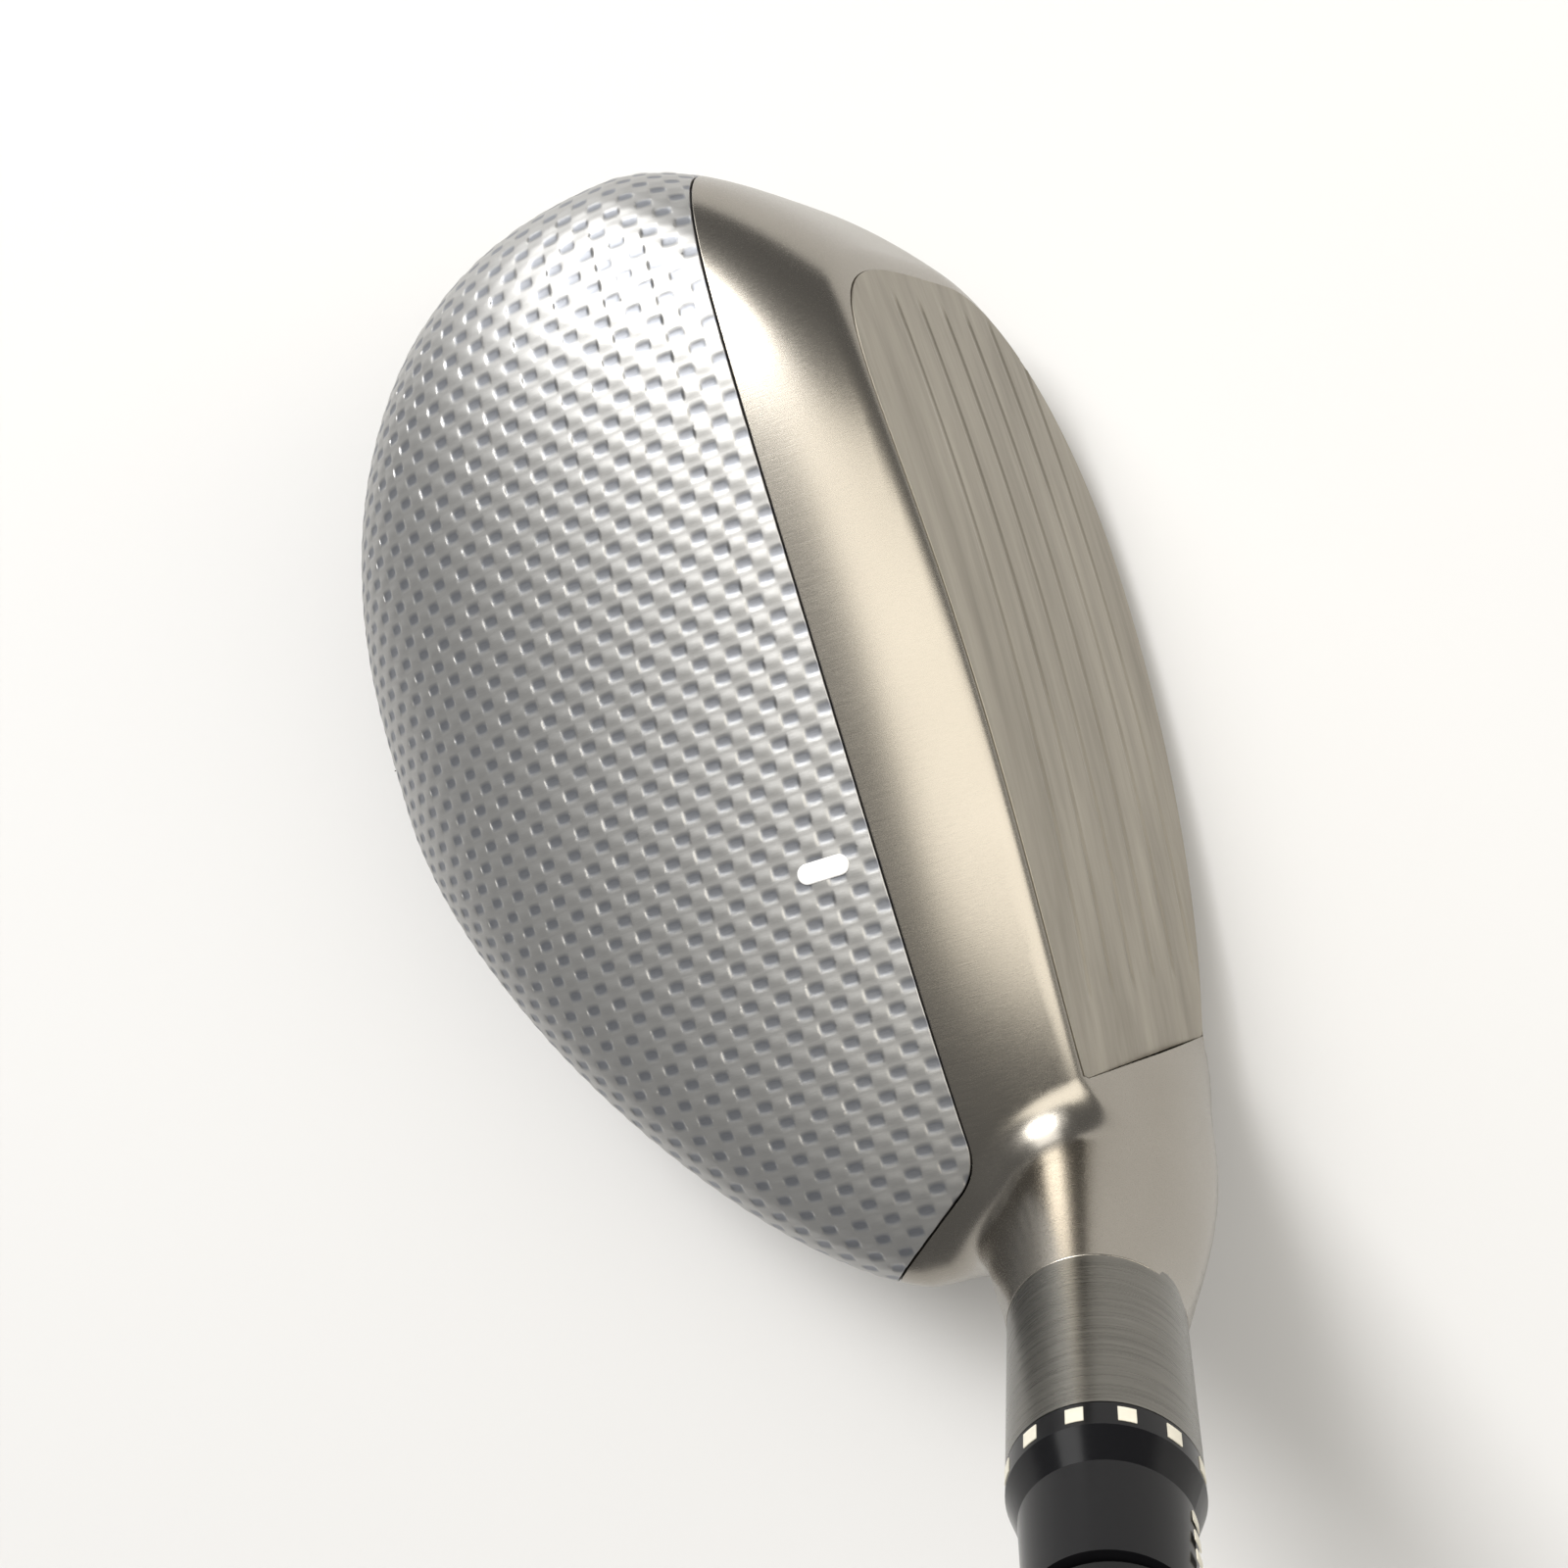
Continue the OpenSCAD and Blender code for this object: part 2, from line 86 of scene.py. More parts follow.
# Roundings of the casting, its wall and the net that it is made from.
CREASE_R = 1.1
REAR_END_R = 0.6
SOLE_EDGE_R = 0.5
FILLET_R = 3.4
SHELL_T = 1
CASTING_STEP = 0.8
CASTING_TOP = 48
NECK_PAST_HEEL = 13
LONGEST_STEP = 0.3

# The crown panel.
SEAM_X = -8.2
PANEL_EDGE_Z = 19
HEEL_CORNER = np.array([SEAM_X, -49.3])
HEEL_EDGE_RUN = np.array([-80, -59])
CORNER_R = 5
PANEL_T = 0.9
SEAM_GAP = 0.14
EDGE_R = 0.12

# The face plate and its score lines.
FACE_RIM = 0.8
FACE_POCKET = 1
FACE_HEEL_Y = -44
FACE_SEAM = 0.04
FACE_T = 2.2
FACE_EDGE_R = 0.06
SCORE_COUNT = 6
SCORE_PITCH = 4
SCORE_FIRST_Z = 8
SCORE_W = 0.7
SCORE_DEPTH = 0.12
SCORE_TOE = 28
SCORE_HEEL = -38
SCORE_END = 1.2
SCORE_POINTS = 9
FACE_TOP = 43
FACE_STEP_Y = 0.6
FACE_STEP_Z = 0.5

# The carbon cloth: the pitch of its tows in X and Y, and their relief.
TOW = np.array([1.62, 1.75])
TOW_LIFT = 0.08
TOW_STEP = 0.35
TOW_ROUNDING = np.array([0.4, 2.0])
# POCKET_LOW and POCKET_SLOPE shape the sunk pockets, and also where the weave material paints them dark as
# shade.
POCKET_LOW = -0.7
POCKET_SLOPE = 0.62
CLOTH_HANG = 0.57 / np.sqrt(20)
WEAVE_STEP = 0.24

# The aiming bar, and the plug in the slot of the sole.
MARK_AT = np.array([SEAM_X - 5, -21])
MARK_HALF = 1.5
MARK_R = 0.8
MARK_T = 0.09
PLUG_GAP = 0.12
PLUG_RECESS = 0.15
PLUG_T = 1.5
SLOT_X = 8.5
SLOT_W = 3.2
SLOT_HALF = 20
SLOT_TOP = 5

# ---- sizes along the bore and the shaft ----

# S is measured up the bore from its foot.
BORE_FOOT_Y = -37.7
BORE_TILT = np.radians(29)
SHAFT_TILT = np.radians(30)
PIVOT_S = 60
HOSEL_R = 6.95
SCREW_HOLE_TOP = 16
NECK_TOP = 50
NECK_WIDE_S = 25
NECK_R = HOSEL_R + 0.05
NECK_FLARE = 4.5
NECK_SPREAD = 0.6
NECK_PLAIN_SIDE = 0.75
NECK_TURN = 1.1
NECK_LOW_S = 13
NECK_DOME = 2.6
NECK_FRONT_NORMAL = np.array([0.965, 0.25, 0.077])
NECK_FRONT_REACH = 11.3

# Stations of the grip are measured from its mouth, the end nearest the head.
CLUB_LENGTH = 1016
GRIP_LENGTH = 265
GRIP_BORE_R = 7.85
CAP_T = 4
GRIP_END = GRIP_LENGTH - CAP_T
GRIP_STATIONS = [0, 8, 150, GRIP_END - 22, GRIP_END - 5, GRIP_END]
GRIP_RADII = [8.5, 9.0, 10.9, 11.8, 13.2, 13.5]
GRIP_GROOVES = np.concatenate([np.arange(14, 120, 8.0), np.arange(126, 235, 14.0)])
GROOVE_HALF = 0.9
GROOVE_FLOOR = 0.5
GROOVE_DEPTH = 0.5
GRIP_EDGE_R = 0.25

# The sole weight and its port.
WEIGHT_X = -38
WEIGHT_Z = 6.2
WEIGHT_TILT = np.radians(17)
PORT_R = 8.5
PORT_TOP = 8

# ---- vectors and frames ----


def unit(v):
    return v / np.maximum(np.linalg.norm(v, axis=-1, keepdims=True), 1e-12)


def dot(a, b):
    return (a * b).sum(-1)


class Axis:
    """A place and three directions: its Z is the axis that pieces are turned about."""

    def __init__(self, origin, x_axis, z_axis):
        self.origin = np.array(origin, float)
        self.rows = np.array([x_axis, np.cross(z_axis, x_axis), z_axis], float)

    def out(self, local):
        return self.origin + np.asarray(local) @ self.rows

    def into(self, p):
        return (p - self.origin) @ self.rows.T


def heelward(tilt):
    return np.array([0, -np.sin(tilt), np.cos(tilt)])


BORE = Axis([0, BORE_FOOT_Y, 0], [1, 0, 0], heelward(BORE_TILT))
SHAFT = Axis(
    BORE.out([0, 0, PIVOT_S]) - PIVOT_S * heelward(SHAFT_TILT),
    [1, 0, 0],
    heelward(SHAFT_TILT),
)
WEIGHT = Axis(
    [WEIGHT_X, 0, WEIGHT_Z],
    [np.cos(WEIGHT_TILT), 0, -np.sin(WEIGHT_TILT)],
    [np.sin(WEIGHT_TILT), 0, np.cos(WEIGHT_TILT)],
)

# ---- the form of the head, as levels that are below 0 inside ----


def reach_share(q, taper, power, root):
    """Half the head's width at depth q, as a share of the widest."""
    front = 1 - taper * ((WIDEST - q) / WIDEST) ** 2
    share = np.clip(q - WIDEST, 0, None) / (1 - WIDEST)
    rear = np.clip(1 - share**power, 0, 1) ** (1 / root)
    return np.where(q < WIDEST, front, rear)


def roll_share(q, length):
    """A rolled edge: 1 at the front, fading to 0 over a length."""
    return np.clip(1 - q * HEAD_DEPTH / length, 0, 1) ** ROLL_POWER


def toe_at(q):
    """How far the head reaches to the toe at depth q."""
    reach = TOE_REACH * reach_share(q, TOE_TAPER, TOE_POWER, TOE_ROOT)
    return reach - TOE_ROLL * EDGE_DROP * roll_share(q, EDGE_ROLL)


def heel_at(q):
    """How far the head reaches to the heel at depth q."""
    reach = HEEL_REACH * reach_share(q, HEEL_TAPER, HEEL_POWER, HEEL_ROOT)
    return reach - HEEL_ROLL * EDGE_DROP * roll_share(q, EDGE_ROLL)


def rise_at(q):
    """How high the crown stands over the widest line at depth q."""
    rise = (CROWN_HEIGHT - EQUATOR) * np.sqrt(np.clip(1 - q * q, 0, 1))
    return rise - EDGE_DROP * roll_share(q, EDGE_ROLL)


def fall_at(q):
    """How far the sole lies under the widest line at depth q."""
    share = np.clip(1 - q**SOLE_POWER, 0, 1) ** (1 / SOLE_ROOT)
    return (EQUATOR + SOLE_DIP) * share - SOLE_DROP * roll_share(q, SOLE_ROLL)


def face_lean(y, z):
    """How far the face lies behind the leading edge."""
    return np.tan(LOFT) * (z - LEAD_Z) + FACE_BULGE * (y / BULGE_SPAN) ** 2


def depth_share(p):
    """Which section of the head a point is on: 0 at the face, 1 at the rear end."""
    lean = face_lean(p[..., 1], p[..., 2])
    q = np.clip((LEADING_EDGE - p[..., 0]) / HEAD_DEPTH, 0, 1)
    for _ in range(6):
        root = np.sqrt(q)
        error = LEADING_EDGE - q * HEAD_DEPTH - (1 - root * q) * lean - p[..., 0]
        q = np.clip(q + error / (HEAD_DEPTH - 1.5 * root * lean), 0, 1.2)
    return q


def skin_level(p):
    """0 on the skin of the head, taken without its face."""
    return section_level(p, np.clip(depth_share(p), 0, 0.999))


def face_edge_level(p):
    """0 where the skin meets the face, and on the level's prism ahead of it."""
    return section_level(p, 0.0)


def section_level(p, q):
    """0 on the section of the head at depth q."""
    y, z = p[..., 1], p[..., 2] - EQUATOR
    reach = np.maximum(np.where(y >= 0, toe_at(q), heel_at(q)), SMALLEST)
    half = np.where(z >= 0, rise_at(q) + TOPLINE_RISE * y, fall_at(q))
    power = np.where(z >= 0, CROWN_SQUARE, SOLE_SQUARE)
    across = np.abs(y / reach) ** power
    up = np.abs(z / np.maximum(half, SMALLEST)) ** power
    return (across + up) ** (1 / power) - 1


def face_level(p):
    """0 on the face, below 0 behind it."""
    front = LEADING_EDGE - face_lean(p[..., 1], p[..., 2])
    return (p[..., 0] - front) * np.cos(LOFT)


def ease(t):
    """0 to 1 with soft ends."""
    t = np.clip(t, 0, 1)
    return t * t * (3 - 2 * t)


def neck_level(p):
    """0 on the post round the hosel tube: it flares lower down, save on its toe side."""
    local = BORE.into(p)
    s = local[..., 2]
    from_axis = np.hypot(local[..., 0], local[..., 1])
    toeward = local[..., 1] / np.maximum(from_axis, SMALLEST)
    lower = ease((NECK_TOP - s) / (NECK_TOP - NECK_WIDE_S)) ** NECK_SPREAD
    radius = NECK_R + NECK_FLARE * lower * ease((NECK_PLAIN_SIDE - toeward) / NECK_TURN)
    down = np.clip(NECK_WIDE_S - s, 0, None) * NECK_R / (NECK_WIDE_S - NECK_LOW_S)
    return (from_axis**NECK_DOME + down**NECK_DOME) ** (1 / NECK_DOME) - radius


def slope_of(level, p, value=None, step=0.02):
    """The gradient of a level, by small steps along X, Y and Z."""
    value = level(p) if value is None else value
    return np.stack([(level(p + step * axis) - value) / step for axis in np.eye(3)], -1)


def distance(level, p):
    """A level over its own steepness, which near its 0 is the distance."""
    value = level(p)
    return value / np.maximum(np.linalg.norm(slope_of(level, p, value), axis=-1), 1e-6)


def round_max(a, b, radius):
    """What is inside both, with the outer edge rounded."""
    a, b = a + radius, b + radius
    corner = np.hypot(np.maximum(a, 0), np.maximum(b, 0))
    return np.minimum(np.maximum(a, b), 0) + corner - radius


def round_min(a, b, radius):
    """What is inside either, with the inner corner filled."""
    return -round_max(-a, -b, radius)


def neck_front_level(p):
    """0 on the plane that carries the face on past the neck."""
    return BORE.into(p) @ NECK_FRONT_NORMAL - NECK_FRONT_REACH


def casting_level(p):
    """The whole head: skin, face, neck and the flat that it stands on."""
    rear_end = HEAD_REAR - p[..., 0]
    skin = round_max(distance(skin_level, p), rear_end, REAR_END_R)
    head = round_max(skin, face_level(p), CREASE_R)
    neck = round_max(distance(neck_level, p), neck_front_level(p), CREASE_R)
    return round_max(round_min(head, neck, FILLET_R), -p[..., 2], SOLE_EDGE_R)


# ---- outlines of the openings, below 0 inside them ----


def panel_outline(p):
    """The crown panel: behind the seam, off the heel, above its lower edge."""
    along = unit(HEEL_EDGE_RUN)
    heel_normal = np.array([-along[1], along[0]])
    plan = p[..., :2] - HEEL_CORNER
    seam = plan[..., 0]
    heel = plan @ heel_normal
    corner_y = (-CORNER_R + CORNER_R * heel_normal[0]) / heel_normal[1]
    spoke = plan - np.array([-CORNER_R, corner_y])
    past_heel = heel_normal[0] * spoke[..., 1] - heel_normal[1] * spoke[..., 0] > 0
    in_corner = (spoke[..., 1] < 0) & past_heel
    turned_corner = np.linalg.norm(spoke, axis=-1) - CORNER_R
    edge = np.where(in_corner, turned_corner, np.maximum(seam, heel))
    return np.maximum(edge, PANEL_EDGE_Z - p[..., 2])


def face_outline(p):
    """The face plate, inside the rim of the casting and clear of the neck."""
    rim = distance(face_edge_level, p) + FACE_RIM
    heel = FACE_HEEL_Y - p[..., 1]
    return np.maximum(np.maximum(rim, heel), -FACE_POCKET - face_level(p))


def port_outline(p):
    local = WEIGHT.into(p)
    return np.maximum(np.hypot(local[..., 0], local[..., 1]) - PORT_R, local[..., 2] - PORT_TOP)


def screw_hole_outline(p):
    local = BORE.into(p)
    return np.maximum(np.hypot(local[..., 0], local[..., 1]) - HOSEL_R, local[..., 2] - SCREW_HOLE_TOP)


def slot_outline(p):
    across = np.abs(p[..., 0] - SLOT_X) - SLOT_W / 2
    along = np.abs(p[..., 1]) - SLOT_HALF
    return np.maximum(np.maximum(across, along), p[..., 2] - SLOT_TOP)


def tube_end(p):
    """Below 0 above the neck, where the bare tube starts."""
    return NECK_TOP - BORE.into(p)[..., 2]


def casting_keep(p):
    """Below 0 where the casting's own skin stays."""
    return -np.min([opening(p) for opening in OPENINGS], axis=0) + EDGE_R


OPENINGS = [panel_outline, face_outline, port_outline, screw_hole_outline, slot_outline, tube_end]


# ---- meshes as arrays ----


def spread(flags):
    """Adds every neighbour of what is set."""
    for axis in range(flags.ndim):
        grown = flags.copy()
        ahead = [slice(None)] * flags.ndim
        behind = [slice(None)] * flags.ndim
        ahead[axis] = slice(1, None)
        behind[axis] = slice(None, -1)
        grown[tuple(ahead)] |= flags[tuple(behind)]
        grown[tuple(behind)] |= flags[tuple(ahead)]
        flags = grown
    return flags


def lattice(axes):
    """All the points of a box-shaped grid, from its three rows of coordinates."""
    return np.stack(np.meshgrid(*axes, indexing="ij"), -1)


def sample(level, axes, stride=4):
    """The level at every lattice point near its 0, and a far value with the right sign elsewhere."""
    rough = level(lattice([a[::stride] for a in axes]))
    near = spread(np.abs(rough) < stride * 2 * (axes[0][1] - axes[0][0]))
    pick = np.ix_(*[np.arange(len(a)) // stride for a in axes])
    value = rough[pick].copy()
    close = near[pick]
    value[close] = level(lattice(axes)[close])
    return value


def surface_net(level, low, high, step):
    """Quads round a level's 0, with one vertex in each cell that it crosses."""
    axes = [np.arange(a, b + step, step) for a, b in zip(low, high)]
    points = lattice(axes)
    value = sample(level, axes)
    cells = np.array(value.shape) - 1
    total = np.zeros((*cells, 3))
    count = np.zeros(cells)
    crossings = []
    for axis in range(3):
        following = np.roll(value, -1, axis)
        crossed = (value < 0) != (following < 0)
        edge = [slice(None)] * 3
        edge[axis] = -1
        crossed[tuple(edge)] = False
        at = np.argwhere(crossed)
        share = value[crossed] / (value[crossed] - following[crossed])
        place = points[crossed] + share[:, None] * step * np.eye(3)[axis]
        round_edge = []
        for first, second in ((0, 0), (-1, 0), (-1, -1), (0, -1)):
            shift = np.zeros(3, int)
            shift[(axis + 1) % 3] = first
            shift[(axis + 2) % 3] = second
            round_edge.append(at + shift)
        round_edge = np.stack(round_edge, 1)
        whole = ((round_edge >= 0) & (round_edge < cells)).all((1, 2))
        round_edge = round_edge[whole]
        for corner in range(4):
            where = tuple(round_edge[:, corner].T)
            np.add.at(total, where, place[whole])
            np.add.at(count, where, 1)
        outward = value[crossed][whole] < 0
        crossings.append(np.where(outward[:, None, None], round_edge, round_edge[:, ::-1]))
    used = count > 0
    number = np.full(cells, -1)
    number[used] = np.arange(used.sum())
    quads = np.concatenate([number[tuple(np.moveaxis(c, 2, 0))] for c in crossings])
    return total[used] / count[used][:, None], quads


def settle(level, p, rounds=3):
    """Moves points onto a level's 0 and returns them with their normals."""
    for _ in range(rounds):
        value = level(p)
        slope = slope_of(level, p, value)
        step = (value / np.maximum(dot(slope, slope), 1e-6))[:, None] * slope
        p = p - step / np.maximum(np.linalg.norm(step, axis=1, keepdims=True) / LONGEST_STEP, 1)
    return p, unit(slope_of(level, p))


def grid(a, b):
    """Every pair of a value of a and a value of b, as two flat arrays."""
    return (v.ravel() for v in np.meshgrid(a, b, indexing="ij"))


def halved(quads):
    """Two triangles from each quad."""
    return np.concatenate([quads[:, [0, 1, 2]], quads[:, [0, 2, 3]]])


def tidy(p, tris):
    """Drops the points that no triangle uses."""
    used = np.unique(tris)
    number = np.zeros(len(p), int)
    number[used] = np.arange(len(used))
    return p[used], number[tris]


def cut(p, tris, keep):
    """The part of a mesh where keep is below 0, with new points where it is 0."""
    value = keep(p)
    inside = value < 0
    count = inside[tris].sum(1)
    crossed = tris[(count == 1) | (count == 2)]
    flags = inside[crossed]
    odd = np.where(flags.sum(1) == 1, flags.argmax(1), (~flags).argmax(1))
    turn = (odd[:, None] + np.arange(3)) % 3
    crossed = np.take_along_axis(crossed, turn, 1)
    edges = np.sort(np.concatenate([crossed[:, [0, 1]], crossed[:, [0, 2]]]), 1)
    pairs, which = np.unique(edges, axis=0, return_inverse=True)
    a, b = pairs.T
    share = value[a] / (value[a] - value[b])
    fresh = p[a] + share[:, None] * (p[b] - p[a])
    which = which.reshape(2, -1) + len(p)
    a, b, c, ab, ac = *crossed.T, *which
    tip_stays = inside[a]
    tips = np.stack([a, ab, ac], 1)[tip_stays]
    bases = np.concatenate([np.stack([ab, b, c], 1), np.stack([ab, c, ac], 1)])
    bases = bases[~np.concatenate([tip_stays, tip_stays])]
    return tidy(np.concatenate([p, fresh]), np.concatenate([tris[count == 3], tips, bases]))


def open_edges(tris):
    """Directed edges that only one triangle uses."""
    edges = np.concatenate([tris[:, [0, 1]], tris[:, [1, 2]], tris[:, [2, 0]]])
    _, which, count = np.unique(np.sort(edges, 1), axis=0, return_inverse=True, return_counts=True)
    return edges[count[which.ravel()] == 1]


def shell(p, normal, tris, outline, depth, radius=EDGE_R, turns=3):
    """Closes a cut sheet with a rounded edge, sides and an inner skin."""
    edges = open_edges(tris)
    rim, ends = np.unique(edges, return_inverse=True)
    ends = ends.reshape(-1, 2)
    n = normal[rim]
    slope = slope_of(outline, p[rim])
    away = unit(slope - dot(slope, n)[:, None] * n)
    rows, row_normals = [p, p - depth * normal], [normal, -normal]
    steps = np.linspace(0, np.pi / 2, turns + 1)[1:]
    for angle in steps:
        rows.append(p[rim] + radius * (np.sin(angle) * away - (1 - np.cos(angle)) * n))
        row_normals.append(np.cos(angle) * n + np.sin(angle) * away)
    rows.append(p[rim] + radius * away - depth * n)
    row_normals.append(away)
    starts = np.cumsum([0] + [len(r) for r in rows])
    chain = [edges] + [ends + start for start in starts[2:-1]] + [edges + len(p)]
    strips = []
    for upper, lower in zip(chain, chain[1:]):
        quads = np.stack([upper[:, 1], upper[:, 0], lower[:, 0], lower[:, 1]], 1)
        strips.append(halved(quads))
    faces = np.concatenate([tris, tris[:, ::-1] + len(p), *strips])
    return np.concatenate(rows), faces, np.concatenate(row_normals)


def make_mesh(name, p, faces, normals=None, uv=None):
    """A Blender mesh in metres. uv has a pair for each corner of each face."""
    mesh = bpy.data.meshes.new(name)
    sides = faces.shape[1]
    mesh.vertices.add(len(p))
    mesh.vertices.foreach_set("co", (p * MM).astype(np.float32).ravel())
    mesh.loops.add(faces.size)
    mesh.loops.foreach_set("vertex_index", faces.astype(np.int32).ravel())
    mesh.polygons.add(len(faces))
    mesh.polygons.foreach_set("loop_start", np.arange(0, faces.size, sides, dtype=np.int32))
    mesh.update(calc_edges=True)
    mesh.polygons.foreach_set("use_smooth", np.ones(len(faces), bool))
    if uv is not None:
        mesh.uv_layers.new(name="UVMap").data.foreach_set("uv", uv.astype(np.float32).ravel())
    if normals is not None:
        mesh.normals_split_custom_set_from_vertices(unit(normals).tolist())
    mesh.update()
    return mesh


def piece(name, mesh, body, slot, material, *nodes):
    """Shows a mesh as a piece that rides on a body and stands for CAD nodes."""
    obj = bpy.data.objects.new(name, mesh)
    bpy.context.scene.collection.objects.link(obj)
    obj.data.materials.append(material)
    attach(obj, body)
    if nodes:
        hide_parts(*nodes)


# ---- turned pieces ----


def rounded_outline(corners, radius, turns=3):
    """A closed outline with each corner turned to a small arc: points and their normals."""
    corners = np.array(corners, float)
    before = np.roll(corners, 1, 0)
    after = np.roll(corners, -1, 0)
    area = (corners[:, 0] * after[:, 1] - after[:, 0] * corners[:, 1]).sum()
    if area < 0:
        return rounded_outline(corners[::-1], radius, turns)
    points, normals = [], []
    for b, c, a in zip(before, corners, after):
        came, goes = unit(c - b), unit(a - c)
        turn = np.arctan2(came[0] * goes[1] - came[1] * goes[0], came @ goes)
        room = 0.45 * min(np.linalg.norm(c - b), np.linalg.norm(a - c))
        back = min(room, abs(radius * np.tan(turn / 2)))
        side = np.array([came[1], -came[0]])
        if abs(turn) < 1e-3:
            points.append(c)
            normals.append(side)
            continue
        r = back / np.tan(abs(turn) / 2)
        centre = c - back * came - np.sign(turn) * r * side
        for share in np.linspace(0, 1, turns + 1):
            angle = share * turn
            facing = side * np.cos(angle) + came * np.sin(angle)
            points.append(centre + np.sign(turn) * r * facing)
            normals.append(facing)
    return np.array(points), np.array(normals)


def turned(name, corners, axis, radius=0.12, segments=128, turns=3):
    """A mesh turned about an axis from a closed outline of (radius, height) corners."""
    outline, facing = rounded_outline(corners, radius, turns)
    rows = len(outline)
    angle = np.linspace(0, 2 * np.pi, segments, endpoint=False)
    ring = np.stack([np.cos(angle), np.sin(angle)], 1)
    local = np.zeros((rows, segments, 3))
    local[..., :2] = outline[:, 0, None, None] * ring
    local[..., 2] = outline[:, 1, None]
    normal = np.zeros_like(local)
    normal[..., :2] = facing[:, 0, None, None] * ring
    normal[..., 2] = facing[:, 1, None]
    i, j = grid(np.arange(rows), np.arange(segments))
    i_next, j_next = (i + 1) % rows, (j + 1) % segments
    quads = np.stack(
        [i * segments + j, i * segments + j_next, i_next * segments + j_next, i_next * segments + j], 1
    )
    length = np.concatenate([[0], np.cumsum(np.linalg.norm(np.diff(outline, axis=0), axis=1))])
    last = length[-1] + np.linalg.norm(outline[0] - outline[-1])
    ends = np.append(length, last)
    girth = 2 * np.pi * outline[:, 0].max()
    u0, u1 = j / segments * girth, (j + 1) / segments * girth
    v0, v1 = ends[i], ends[i + 1]
    pairs = ((u0, v0), (u1, v0), (u1, v1), (u0, v1))
    uv = np.stack([np.stack(pair, 1) for pair in pairs], 1)
    p = axis.out(local.reshape(-1, 3))
    n = normal.reshape(-1, 3) @ axis.rows
    return make_mesh(name, p, quads, n, uv)


# ---- materials ----


class Shader:
    """A material's nodes, with short ways to add and link them."""

    def __init__(self, name):
        self.material = bpy.data.materials.new(name)
        self.material.use_nodes = True
        self.tree = self.material.node_tree
        self.surface = self.tree.nodes["Principled BSDF"]

    def set(self, **values):
        for name, value in values.items():
            socket = self.surface.inputs[name.replace("_", " ")]
            if isinstance(value, bpy.types.NodeSocket):
                self.tree.links.new(value, socket)
            else:
                socket.default_value = value
        return self

    def add(self, kind, inputs=None, output=0, **settings):
        node = self.tree.nodes.new("ShaderNode" + kind)
        for name, value in settings.items():
            setattr(node, name, value)
        for name, value in (inputs or {}).items():
            if isinstance(value, bpy.types.NodeSocket):
                self.tree.links.new(value, node.inputs[name])
            else:
                node.inputs[name].default_value = value
        return node.outputs[output]

    def math(self, operation, a, b=0.0):
        return self.add("Math", {0: a, 1: b}, operation=operation)

    def place(self, kind="Object", scale=(1000, 1000, 1000), turn=0.0):
        """Texture coordinates, turned about X and then scaled. At scale 1000 they are millimetres."""
        where = self.add("TexCoord", output=kind)
        turned_about = self.add("Mapping", {"Vector": where, "Rotation": (turn, 0, 0)})
        return self.add("Mapping", {"Vector": turned_about, "Scale": scale})

    def noise(self, where, scale=1.0, detail=4.0):
        inputs = {"Vector": where, "Scale": scale, "Detail": detail, "Roughness": 0.6}
        return self.add("TexNoise", inputs, output="Fac")

    def remap(self, value, low, high, from_low=0.0, from_high=1.0):
        inputs = {"Value": value, 1: from_low, 2: from_high, 3: low, 4: high}
        return self.add("MapRange", inputs)

    def blend(self, share, first, second):
        node = self.tree.nodes.new("ShaderNodeMix")
        node.data_type = "RGBA"
        for name, value in (("Factor", share), ("A", first), ("B", second)):
            kind = "VALUE" if name == "Factor" else "RGBA"
            socket = next(s for s in node.inputs if s.name == name and s.type == kind)
            if isinstance(value, bpy.types.NodeSocket):
                self.tree.links.new(value, socket)
            else:
                socket.default_value = value
        return next(s for s in node.outputs if s.type == "RGBA")

    def bump(self, height, depth_mm):
        return self.add("Bump", {"Height": height, "Distance": depth_mm * MM, "Strength": 1.0})


def colour(r, g, b):
    return (r, g, b, 1.0)


def satin_steel():
    """Blasted and lightly brushed casting."""
    s = Shader("satin_steel")
    grain = s.noise(s.place(scale=(350, 9000, 9000)), detail=5)
    soft = s.noise(s.place(scale=(60, 60, 60)), detail=2)
    tint = s.blend(soft, colour(0.31, 0.287, 0.25), colour(0.37, 0.345, 0.305))
    s.set(Base_Color=tint, Metallic=1.0, Roughness=s.remap(grain, 0.2, 0.32), Normal=s.bump(grain, 0.003))
    return s.material


def milled_steel():
    """Face plate: fine cutter lines from heel to toe."""
    s = Shader("milled_steel")
    lines = s.noise(s.place(scale=(2200, 40, 2200)), detail=6)
    patches = s.noise(s.place(scale=(420, 30, 420)), detail=4)
    tint = s.blend(patches, colour(0.19, 0.172, 0.142), colour(0.47, 0.435, 0.37))
    s.set(Base_Color=tint, Metallic=1.0, Roughness=s.remap(lines, 0.30, 0.46), Normal=s.bump(lines, 0.012))
    return s.material


def brushed_tube():
    """Hosel tube, turned: fine lines round it."""
    s = Shader("brushed_tube")
    lines = s.noise(s.place(scale=(90, 90, 5000), turn=-BORE_TILT), detail=6)
    tint = s.blend(lines, colour(0.09, 0.087, 0.078), colour(0.27, 0.26, 0.235))
    s.set(Base_Color=tint, Metallic=1.0, Roughness=s.remap(lines, 0.22, 0.34), Normal=s.bump(lines, 0.02))
    return s.material


